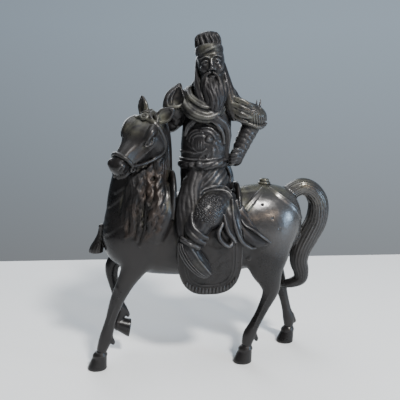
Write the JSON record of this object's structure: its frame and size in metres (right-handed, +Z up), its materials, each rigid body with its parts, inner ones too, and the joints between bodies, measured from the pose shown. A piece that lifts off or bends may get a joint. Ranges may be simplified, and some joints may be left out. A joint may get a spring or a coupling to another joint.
{
  "type": "equestrian bronze figure",
  "caption": "Small cast bronze of a bearded armoured rider with a hand on his hip, on a walking horse that turns its head; the rider lifts off.",
  "frame": {"origin": "on the ground that the hooves stand on, under the middle of the figure's bounding box", "axes": "+Z up; the horse faces -X; -Y is the horse's left side, to which its head and the rider turn"},
  "size_m": [0.227, 0.0902, 0.2953],
  "materials": {
    "horse_bronze": "cast bronze, dark brown to black patina, satin, rubbed brighter on the rump and brow",
    "rider_bronze": "cast bronze, dark brown to black patina, satin, with greenish grey in the hollows"
  },
  "bodies": {
    "root": {"horse": "horse_bronze", "rider": "rider_bronze"}
  },
  "joints": []
}
